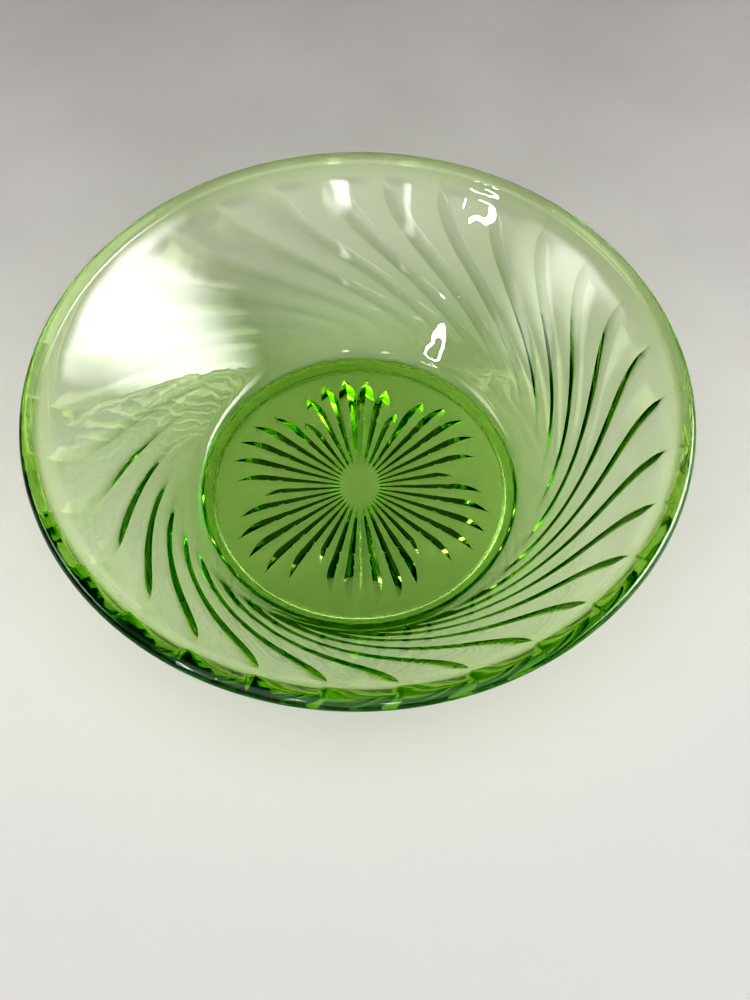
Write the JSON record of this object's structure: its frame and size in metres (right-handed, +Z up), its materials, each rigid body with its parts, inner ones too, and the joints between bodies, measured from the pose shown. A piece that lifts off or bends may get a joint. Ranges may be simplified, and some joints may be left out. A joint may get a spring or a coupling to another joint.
{
  "type": "pressed glass bowl",
  "caption": "Round flared bowl of pressed green uranium glass, with swirled flutes outside and a star cut under its floor.",
  "frame": {"origin": "centre of the foot ring's underside, on the surface that the bowl stands on", "axes": "+Z up along the bowl's axis; +X and +Y are horizontal"},
  "size_m": [0.2032, 0.2032, 0.0635],
  "materials": {
    "uranium_glass": "clear yellow-green pressed glass, fire-polished and glossy, pale through the wall and deep emerald along the rim, the flutes' steps and the star"
  },
  "bodies": {
    "root": {"dish": "uranium_glass"}
  },
  "joints": []
}
